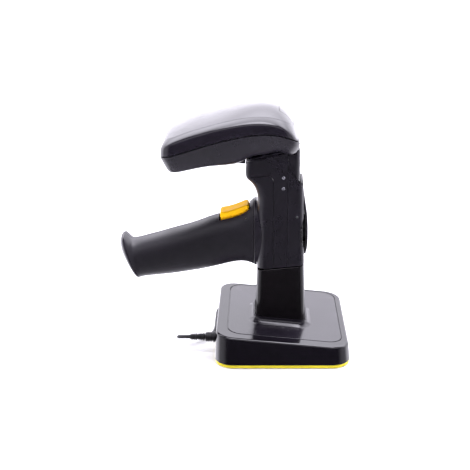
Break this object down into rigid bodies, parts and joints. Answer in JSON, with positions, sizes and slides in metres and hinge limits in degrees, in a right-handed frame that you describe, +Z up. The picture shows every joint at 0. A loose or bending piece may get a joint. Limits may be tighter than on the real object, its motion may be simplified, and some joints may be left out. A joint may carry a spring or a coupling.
{
  "type": "handheld barcode scanner",
  "caption": "Pistol-grip handheld scanner with a domed antenna head and yellow trigger, standing nose up in a weighted charging cradle with a power cord.",
  "frame": {"origin": "on the table, under the middle of the cradle's column", "axes": "+Z up, -X the way the grip points, +X towards the scanner's back plate, Y across the cradle"},
  "size_m": [0.1976, 0.1824, 0.2117],
  "materials": {
    "charcoal_plastic": "fine satin moulding with a light violet cast",
    "gloss_black": "polished black moulding",
    "black_plastic": "satin black moulding",
    "yellow_plastic": "satin yellow moulding",
    "yellow_pad": "soft yellow elastomer",
    "black_rubber": "matt black elastomer",
    "steel": "plated steel",
    "gold_contact": "gold-plated contact",
    "circuit_board": "green solder mask",
    "antenna_ceramic": "fired ceramic with a silver patch",
    "lens": "smoked clear plastic",
    "battery_wrap": "shrink wrap"
  },
  "bodies": {
    "cradle": {"foot_pad": "yellow_pad", "base_shell": "charcoal_plastic", "top_panel": "charcoal_plastic", "ballast_plate": "steel", "cradle_board": "circuit_board", "base_screw_1": "steel", "base_screw_2": "steel", "base_screw_3": "steel", "base_screw_4": "steel", "column_shell": "gloss_black", "socket_liner": "black_plastic", "contact_carrier": "black_plastic", "contact_blade_1": "gold_contact", "contact_blade_2": "gold_contact", "contact_blade_3": "gold_contact", "cable_gland": "black_plastic", "strain_relief": "black_rubber", "power_cord": "black_rubber", "cord_tail": "black_rubber", "cord_coil": "black_rubber", "usb_plug_body": "black_rubber", "usb_plug_shell": "steel"},
    "scanner": {"body_core": "charcoal_plastic", "front_cover": "charcoal_plastic", "rear_cover": "charcoal_plastic", "rear_strip": "charcoal_plastic", "mount_plate": "gloss_black", "side_screw_near": "steel", "side_screw_far": "steel", "status_lens_1": "lens", "status_lens_2": "lens", "dock_tongue": "black_plastic", "contact_pad_1": "gold_contact", "contact_pad_2": "gold_contact", "contact_pad_3": "gold_contact", "main_board": "circuit_board", "beeper": "black_plastic", "head_upper_shell": "charcoal_plastic", "head_lower_shell": "charcoal_plastic", "head_gasket": "black_rubber", "scan_window": "gloss_black", "scan_engine": "black_plastic", "antenna_board": "circuit_board", "antenna_patch": "antenna_ceramic", "neck_collar": "charcoal_plastic", "neck_gusset": "black_plastic", "grip_shell_near": "charcoal_plastic", "grip_shell_far": "charcoal_plastic", "grip_collar": "charcoal_plastic", "grip_end_cap": "charcoal_plastic", "end_cap_screw": "steel", "trigger_pin": "steel", "trigger_spring": "steel", "trigger_switch": "black_plastic", "switch_board": "circuit_board", "battery_cell": "battery_wrap"},
    "trigger": {"trigger": "yellow_plastic"},
    "release_ring": {"release_ring": "black_plastic"},
    "power_button": {"power_button": "black_rubber"}
  },
  "joints": [
    {"name": "scanner_lift", "type": "slide", "parent": "cradle", "child": "scanner", "axis": [0, 0, 1], "range_m": [0, 0.05]},
    {"name": "trigger_pull", "type": "hinge", "parent": "scanner", "child": "trigger", "pos_m": [-0.0305, 0, 0.1165], "axis": [0, -1, 0], "range_deg": [0, 5], "stiffness_Nm_per_rad": 0.25, "springref_deg": -6.88, "deforming": ["trigger_spring"]},
    {"name": "release_turn", "type": "hinge", "parent": "scanner", "child": "release_ring", "pos_m": [0.0151, 0, 0.105], "axis": [1, 0, 0], "range_deg": [0, 25], "stiffness_Nm_per_rad": 0.05, "springref_deg": -11.46},
    {"name": "power_press", "type": "slide", "parent": "scanner", "child": "power_button", "axis": [-1, 0, 0], "range_m": [0, 0.0008], "stiffness_N_per_m": 800, "springref_m": -0.0005}
  ]
}
